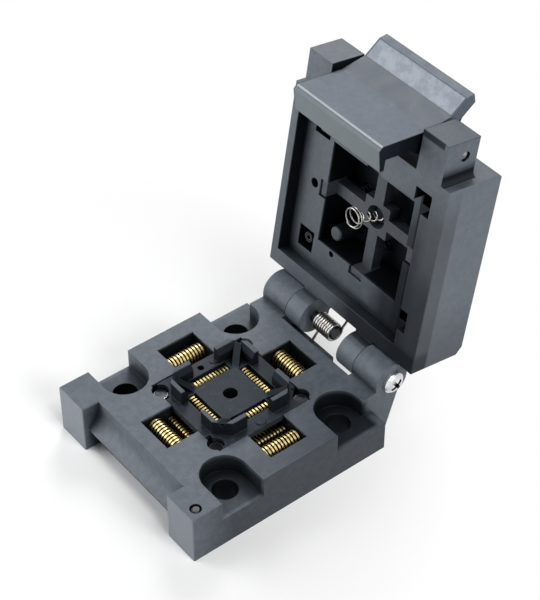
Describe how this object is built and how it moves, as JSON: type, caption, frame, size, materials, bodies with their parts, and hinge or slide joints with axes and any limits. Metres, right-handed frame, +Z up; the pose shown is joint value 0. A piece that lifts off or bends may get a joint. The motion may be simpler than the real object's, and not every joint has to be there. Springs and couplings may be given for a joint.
{
  "type": "ic test socket",
  "caption": "Hinged-lid test socket for a quad flat chip: base with rows of curled gold contacts, sprung floating seat plate, sprung lid with pressure pad and latch.",
  "frame": {"origin": "under the middle of the chip seat, on the flat underside of the base", "axes": "+Z up out of the base, +X along the hinge, -Y towards the latch side and +Y towards the hinge"},
  "size_m": [0.0466, 0.078, 0.0724],
  "materials": {
    "moulding": "glass-filled, finely grained",
    "latch_moulding": "matte, a little paler on the thumb lip",
    "plate_moulding": "smooth matte",
    "pad_moulding": "smooth matte",
    "contact_gold": "gold plated",
    "pin_steel": "bright",
    "spring_steel": "bright wire",
    "corner_pin": "glossy dome",
    "stud_steel": "dulled"
  },
  "bodies": {
    "base": {"base_body": "moulding", "contact_retainer": "plate_moulding", "retainer_screws": "pin_steel", "contacts_front": "contact_gold", "contacts_right": "contact_gold", "contacts_rear": "contact_gold", "contacts_left": "contact_gold", "guide_pins": "pin_steel", "plate_springs": "spring_steel", "corner_pin": "corner_pin", "hinge_screws": "pin_steel", "lid_spring": "spring_steel"},
    "plate": {"floating_plate": "plate_moulding"},
    "lid": {"lid_body": "moulding", "lid_studs": "stud_steel", "latch_pin": "stud_steel", "latch_spring": "spring_steel", "presser_spring": "spring_steel"},
    "pad": {"pressure_pad": "pad_moulding", "pad_springs": "spring_steel"},
    "latch": {"latch_lever": "latch_moulding"}
  },
  "joints": [
    {"name": "lid_hinge", "type": "hinge", "parent": "base", "child": "lid", "pos_m": [0, 0.0276, 0.0129], "axis": [1, 0, 0], "range_deg": [0, 98.9], "stiffness_Nm_per_rad": 0.02, "springref_deg": -11.46, "deforming": ["lid_spring"]},
    {"name": "plate_slide", "type": "slide", "parent": "base", "child": "plate", "axis": [0, 0, 1], "range_m": [-0.001, 0], "stiffness_N_per_m": 400, "springref_m": 0.002, "deforming": ["plate_springs"]},
    {"name": "pad_slide", "type": "slide", "parent": "lid", "child": "pad", "axis": [0, 0.988, -0.1547], "range_m": [0, 0.001], "stiffness_N_per_m": 400, "springref_m": -0.002},
    {"name": "latch_hinge", "type": "hinge", "parent": "lid", "child": "latch", "pos_m": [0, 0.04161, 0.06617], "axis": [1, 0, 0], "range_deg": [-16, 0], "stiffness_Nm_per_rad": 0.02, "springref_deg": 17.19}
  ]
}
